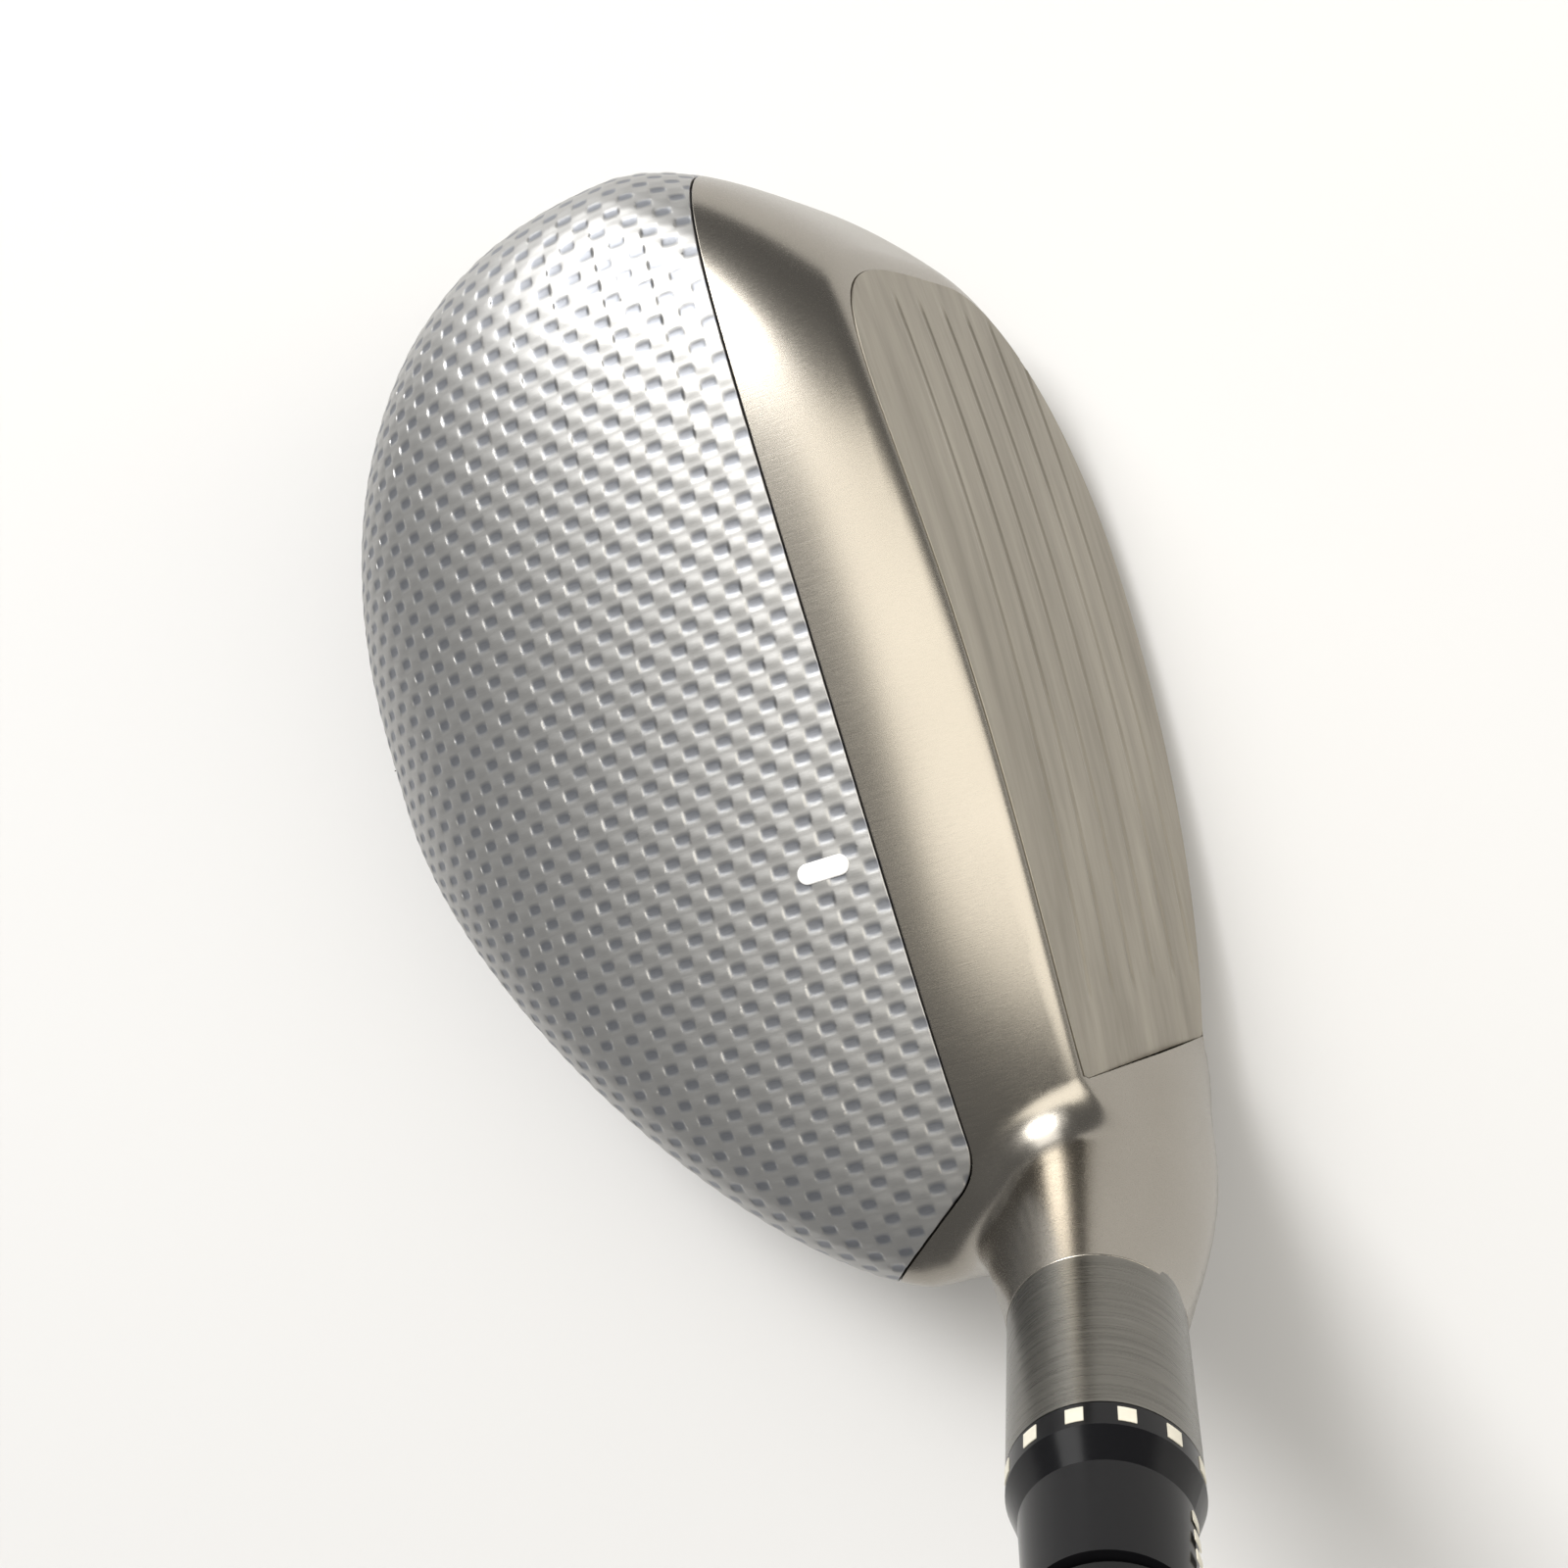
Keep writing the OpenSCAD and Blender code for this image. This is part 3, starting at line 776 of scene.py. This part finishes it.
def carbon_weave():
    """Plain weave: wide tows painted in a lit tone, with the sunk pockets between them painted dark as
    shade.
    """
    s = Shader("carbon_weave")
    where = s.add("TexCoord", output="UV")
    parts = s.tree.nodes.new("ShaderNodeSeparateXYZ")
    s.tree.links.new(where, parts.inputs[0])
    waves = [s.math("SINE", s.math("MULTIPLY", part, np.pi)) for part in parts.outputs[:2]]
    sizes = [s.math("POWER", s.math("ABSOLUTE", w), power) for w, power in zip(waves, TOW_ROUNDING)]
    side = s.math("SIGN", s.math("MULTIPLY", *waves))
    over = s.math("MULTIPLY", side, s.math("MULTIPLY", *sizes))
    fibre = s.noise(s.place("UV", scale=(1.5, 20, 1)), detail=3)
    # Painted light: the first tone below is a lit copy of the cloth and the second a painted shade copy;
    # share paints the sunk pockets between the tows dark as shade and their tops in the lit tone.
    light = s.blend(fibre, colour(0.4, 0.4, 0.395), colour(0.49, 0.485, 0.475))
    painted_pocket_shade = s.blend(fibre, colour(0.22, 0.23, 0.255), colour(0.3, 0.31, 0.335))
    share = s.remap(over, 0.0, 1.0, POCKET_LOW, POCKET_LOW + POCKET_SLOPE)
    s.set(Base_Color=s.blend(share, painted_pocket_shade, light), Metallic=0.85, Roughness=s.remap(fibre, 0.4, 0.5))
    s.set(Normal=s.bump(s.math("ADD", share, s.math("MULTIPLY", fibre, 0.4)), 0.008))
    return s.material


def plain(name, tone, roughness, metallic=0.0, depth=0.01, shine=0.5):
    """A finish with a fine uneven grain."""
    s = Shader(name)
    texture = s.noise(s.place(), scale=2.0)
    darker = colour(*(0.8 * t for t in tone))
    s.set(Base_Color=s.blend(texture, darker, colour(*tone)), Metallic=metallic)
    s.set(Roughness=s.remap(texture, roughness * 0.85, roughness * 1.15), Normal=s.bump(texture, depth))
    s.set(Specular_IOR_Level=shine)
    return s.material


MATERIALS = {
    "satin_steel": satin_steel(),
    "milled_steel": milled_steel(),
    "brushed_tube": brushed_tube(),
    "carbon_weave": carbon_weave(),
    "adhesive": plain("adhesive", (0.10, 0.10, 0.11), 0.5),
    "white_paint": plain("white_paint", (0.9, 0.9, 0.9), 0.35),
    "black_tpu": plain("black_tpu", (0.03, 0.03, 0.032), 0.55),
    "bare_aluminium": plain("bare_aluminium", (0.75, 0.75, 0.76), 0.3, 1.0),
    "black_oxide": plain("black_oxide", (0.06, 0.06, 0.065), 0.4, 0.8),
    "black_nylon": plain("black_nylon", (0.03, 0.03, 0.03), 0.5),
    "black_anodised": plain("black_anodised", (0.006, 0.006, 0.007), 0.2, depth=0.004, shine=0.25),
    "cream_paint": plain("cream_paint", (0.8, 0.76, 0.64), 0.4),
    "black_gloss": plain("black_gloss", (0.004, 0.004, 0.004), 0.1, depth=0.002, shine=0.25),
    "graphite": plain("graphite", (0.012, 0.012, 0.014), 0.16, depth=0.003, shine=0.4),
    "cork": plain("cork", (0.45, 0.3, 0.16), 0.8),
    "silver_band": plain("silver_band", (0.7, 0.7, 0.72), 0.25, 1.0),
    "tape_paper": plain("tape_paper", (0.7, 0.62, 0.45), 0.8),
    "grip_rubber": plain("grip_rubber", (0.02, 0.02, 0.021), 0.7, depth=0.05),
    "weight_steel": plain("weight_steel", (0.35, 0.34, 0.33), 0.35, 1.0),
}

ROUNDED_NODES = {
    "loft_sleeve": 0.12,
    "ferrule": 0.1,
    "hosel_tube": 0.1,
    "hosel_screw": 0.15,
    "screw_washer": 0.1,
    "weight_port": 0.2,
    "sole_weight": 0.25,
    "grip_cap": 0.4,
}


def dress_nodes():
    """Gives every CAD node its material and turns its sharp edges to small rounds."""
    for row in frame["record"]["subparts"]:
        node = frame["nodes"][row["node"]]
        node.data.materials.clear()
        node.data.materials.append(MATERIALS[row["material_slot"]])
        if row["node"] in ROUNDED_NODES:
            bevel = node.modifiers.new("rounded", "BEVEL")
            bevel.width = ROUNDED_NODES[row["node"]] * MM
            bevel.segments = 3
            bevel.angle_limit = np.radians(35)
            bevel.harden_normals = True


dress_nodes()

# ---- pieces ----


def head_body():
    """The casting: its skin, with the openings cut out and an inner wall."""
    low = [HEAD_REAR - 2, -HEEL_REACH - NECK_PAST_HEEL, -1]
    high = [LEADING_EDGE + 2, TOE_REACH + 3, CASTING_TOP]
    p, quads = surface_net(casting_level, low, high, CASTING_STEP)
    p, normal = settle(casting_level, p)
    p, tris = cut(p, halved(quads), casting_keep)
    p, normal = settle(casting_level, p, 2)
    mesh = make_mesh("head_casting", *shell(p, normal, tris, casting_keep, SHELL_T))
    piece("head_casting", mesh, "head", "satin_steel", MATERIALS["satin_steel"], "head_body")


def cloth(p):
    """Tow coordinates of the carbon cloth, which hangs over the edges of the crown."""
    facing = unit(slope_of(skin_level, p))
    drop = np.clip(CROWN_HEIGHT + TOPLINE_RISE * p[..., 1] - p[..., 2], 0, None)
    hang = CLOTH_HANG * drop**1.5
    return (p[..., :2] + facing[..., :2] * hang[..., None]) / TOW


def tow_height(p):
    """Wide tows lie over narrow ones, which show only as sunk pockets between them; the material paints
    these pockets dark as shade.
    """
    waves = np.sin(np.pi * cloth(p))
    over = (np.sign(waves) * np.abs(waves) ** TOW_ROUNDING).prod(-1)
    return TOW_LIFT * (TOW_STEP * ease((over - POCKET_LOW) / POCKET_SLOPE) + (1 - TOW_STEP) * over)


def panel_keep(p):
    return panel_outline(p) + EDGE_R + SEAM_GAP


def crown_panel():
    """The carbon crown, with the relief of its cloth."""
    low = [HEAD_REAR - 1, -HEEL_REACH - 1, PANEL_EDGE_Z - 1]
    high = [SEAM_X + 1, TOE_REACH + 1, CROWN_HEIGHT + 4]
    p, quads = surface_net(skin_level, low, high, WEAVE_STEP)
    p, normal = settle(skin_level, p)
    p, tris = cut(p, halved(quads), panel_keep)
    p, normal = settle(skin_level, p, 2)
    tilt = slope_of(tow_height, p, step=0.05)
    tilt -= dot(tilt, normal)[:, None] * normal
    sheet = p + (tow_height(p) - TOW_LIFT)[:, None] * normal
    points, faces, normals = shell(sheet, normal, tris, panel_keep, PANEL_T)
    normals[: len(p)] = unit(normal - tilt)
    uv = cloth(points)[faces].reshape(-1, 2)
    mesh = make_mesh("crown_weave", points, faces, normals, uv)
    piece("crown_weave", mesh, "head", "carbon_weave", MATERIALS["carbon_weave"], "crown_panel")


def score_depth(y, z):
    """Depth of the score lines: flat-bottomed grooves with sloping sides and soft ends."""
    line = np.clip(np.round((z - SCORE_FIRST_Z) / SCORE_PITCH), 0, SCORE_COUNT - 1)
    off = np.abs(z - SCORE_FIRST_Z - line * SCORE_PITCH)
    across = np.clip((SCORE_W / 2 - off) / (SCORE_W / 4), 0, 1)
    end = np.minimum(SCORE_TOE - y, y - SCORE_HEEL) / SCORE_END
    return SCORE_DEPTH * across * np.clip(end, 0, 1)


def face_front(y, z):
    return LEADING_EDGE - face_lean(y, z) - score_depth(y, z)


def face_normal(p, h=0.02):
    y, z = p[:, 1], p[:, 2]
    slope_y = (face_front(y + h, z) - face_front(y - h, z)) / (2 * h)
    slope_z = (face_front(y, z + h) - face_front(y, z - h)) / (2 * h)
    return unit(np.stack([np.ones(len(p)), -slope_y, -slope_z], 1))


def plate_keep(p):
    return face_outline(p) + FACE_SEAM


def face_plate():
    """The milled face with its score lines."""
    lines = SCORE_FIRST_Z + SCORE_PITCH * np.arange(SCORE_COUNT)
    groove = np.linspace(-SCORE_W / 2, SCORE_W / 2, SCORE_POINTS)
    heights = np.concatenate([np.arange(0, FACE_TOP, FACE_STEP_Z), (lines[:, None] + groove).ravel()])
    z = np.unique(heights.round(4))
    y = np.arange(FACE_HEEL_Y - 2, TOE_REACH + 2, FACE_STEP_Y)
    yy, zz = grid(y, z)
    p = np.stack([face_front(yy, zz), yy, zz], 1)
    i, j = grid(np.arange(len(y) - 1), np.arange(len(z) - 1))
    corner = i * len(z) + j
    quads = np.stack([corner, corner + len(z), corner + len(z) + 1, corner + 1], 1)
    p, tris = cut(p, halved(quads), plate_keep)
    mesh = make_mesh("face_milled", *shell(p, face_normal(p), tris, plate_keep, FACE_T, FACE_EDGE_R))
    piece("face_milled", mesh, "head", "milled_steel", MATERIALS["milled_steel"], "face_plate")


def patch(name, slot, node, level, bounds, keep, depth, lift=0.0):
    """A thin piece laid on a level of the head and cut to an outline, netted within its bounds."""
    p, quads = surface_net(level, *bounds)
    p, normal = settle(level, p)
    p, tris = cut(p, halved(quads), keep)
    p, normal = settle(level, p, 2)
    p = p + lift * normal
    mesh = make_mesh(name, *shell(p, normal, tris, keep, depth, min(EDGE_R, 0.8 * depth)))
    piece(name, mesh, "head", slot, MATERIALS[slot], node)


def mark_outline(p):
    plan = p[..., :2] - MARK_AT
    plan[..., 0] -= np.clip(plan[..., 0], -MARK_HALF, MARK_HALF)
    return np.maximum(np.linalg.norm(plan, axis=-1) - MARK_R, EQUATOR - p[..., 2])


def alignment_mark():
    low = [*(MARK_AT - 4), CROWN_HEIGHT - 6]
    high = [*(MARK_AT + 4), CROWN_HEIGHT + 4]
    patch("aiming_bar", "white_paint", "alignment_mark", skin_level, (low, high, 0.25),
          mark_outline, 2 * MARK_T, MARK_T)


def plug_outline(p):
    return slot_outline(p) + PLUG_GAP


def plug_level(p):
    return casting_level(p) + PLUG_RECESS


def slot_plug():
    low = [SLOT_X - 3, -SLOT_HALF - 1, -1]
    high = [SLOT_X + 3, SLOT_HALF + 1, 5]
    patch("slot_filler", "black_tpu", "slot_plug", plug_level, (low, high, 0.4), plug_outline, PLUG_T)


def grip_radius(s):
    """Outer radius of the grip, s from its mouth."""
    return np.interp(s, GRIP_STATIONS, GRIP_RADII)


def grip():
    """Rubber sleeve with rings of grooves, closer together under the lower hand."""
    groove = (
        (-GROOVE_HALF, 0),
        (-GROOVE_FLOOR, GROOVE_DEPTH),
        (GROOVE_FLOOR, GROOVE_DEPTH),
        (GROOVE_HALF, 0),
    )
    corners = [[GRIP_BORE_R, 0], *([grip_radius(s), s] for s in GRIP_STATIONS[:2])]
    for s in GRIP_GROOVES:
        corners += [[grip_radius(s + offset) - depth, s + offset] for offset, depth in groove]
    corners += [[grip_radius(s), s] for s in GRIP_STATIONS[3:]]
    corners.append([GRIP_BORE_R, GRIP_END])
    low = CLUB_LENGTH - GRIP_LENGTH
    mesh = turned("grip_sleeve", [[r, s + low] for r, s in corners], SHAFT, GRIP_EDGE_R, 96, 2)
    piece("grip_sleeve", mesh, "club", "grip_rubber", MATERIALS["grip_rubber"], "grip")


head_body()
crown_panel()
face_plate()
alignment_mark()
slot_plug()
grip()

# ---- camera, light and floor ----

CAMERA_AT = np.array([27.43, -35.68, 200.76])
CAMERA_AIM = np.array([-13.9, -13.25, 38])
CAMERA_HEADING = np.radians(16.02)
CAMERA_LENS = 45.69
FLOOR_HALF = 6e3
FLOOR_DROP = 0.2
WORLD_STRENGTH = 0.2


def add_camera():
    """Looks down on the head at the angle of the photo."""
    data = bpy.data.cameras.new("camera")
    data.lens = CAMERA_LENS
    data.sensor_width = 36
    data.clip_start = 0.005
    data.clip_end = 20
    camera = bpy.data.objects.new("camera", data)
    bpy.context.scene.collection.objects.link(camera)
    back = unit(CAMERA_AT - CAMERA_AIM)
    heading = np.array([np.sin(CAMERA_HEADING), np.cos(CAMERA_HEADING), 0])
    right = unit(np.cross(heading, back))
    up = np.cross(back, right)
    place = Matrix.Identity(4)
    for row in range(3):
        place[row][0], place[row][1], place[row][2] = right[row], up[row], back[row]
        place[row][3] = CAMERA_AT[row] * MM
    camera.matrix_world = place
    bpy.context.scene.camera = camera


def soft_light(name, place, aim, size, power, tone=(1, 1, 1)):
    """A soft box: place, aim and size in metres."""
    data = bpy.data.lights.new(name, "AREA")
    data.shape = "RECTANGLE"
    data.size, data.size_y = size
    data.energy = power
    data.color = tone
    light = bpy.data.objects.new(name, data)
    bpy.context.scene.collection.objects.link(light)
    light.location = place
    light.rotation_mode = "QUATERNION"
    light.rotation_quaternion = (Vector(aim) - Vector(place)).to_track_quat("-Z", "Y")


def add_floor():
    s = Shader("floor")
    s.set(Base_Color=colour(0.68, 0.68, 0.685), Roughness=0.9)
    signs = ((-1, -1), (1, -1), (1, 1), (-1, 1))
    corners = np.array([[x * FLOOR_HALF, y * FLOOR_HALF, -FLOOR_DROP] for x, y in signs])
    mesh = make_mesh("floor", corners, np.array([[0, 1, 2, 3]]))
    floor = bpy.data.objects.new("floor", mesh)
    floor.data.materials.append(s.material)
    bpy.context.scene.collection.objects.link(floor)


def add_world():
    world = bpy.data.worlds.new("studio")
    world.use_nodes = True
    world.node_tree.nodes["Background"].inputs[0].default_value = colour(1, 1, 1)
    world.node_tree.nodes["Background"].inputs[1].default_value = WORLD_STRENGTH
    bpy.context.scene.world = world
    bpy.context.scene.view_settings.view_transform = "Standard"


add_camera()
soft_light("rear_box", (-0.33, 0.85, 0.85), (-0.03, 0, 0), (0.6, 1.5), 8, (1.0, 0.995, 0.98))
soft_light("toe_box", (-0.26, 0.62, 0.92), (-0.03, 0, 0), (0.4, 0.5), 8, (1.0, 0.99, 0.97))
soft_light("front_box", (0.55, -0.1, 0.85), (0, 0, 0), (0.6, 1.9), 9.5, (1.0, 0.955, 0.86))
add_floor()
add_world()
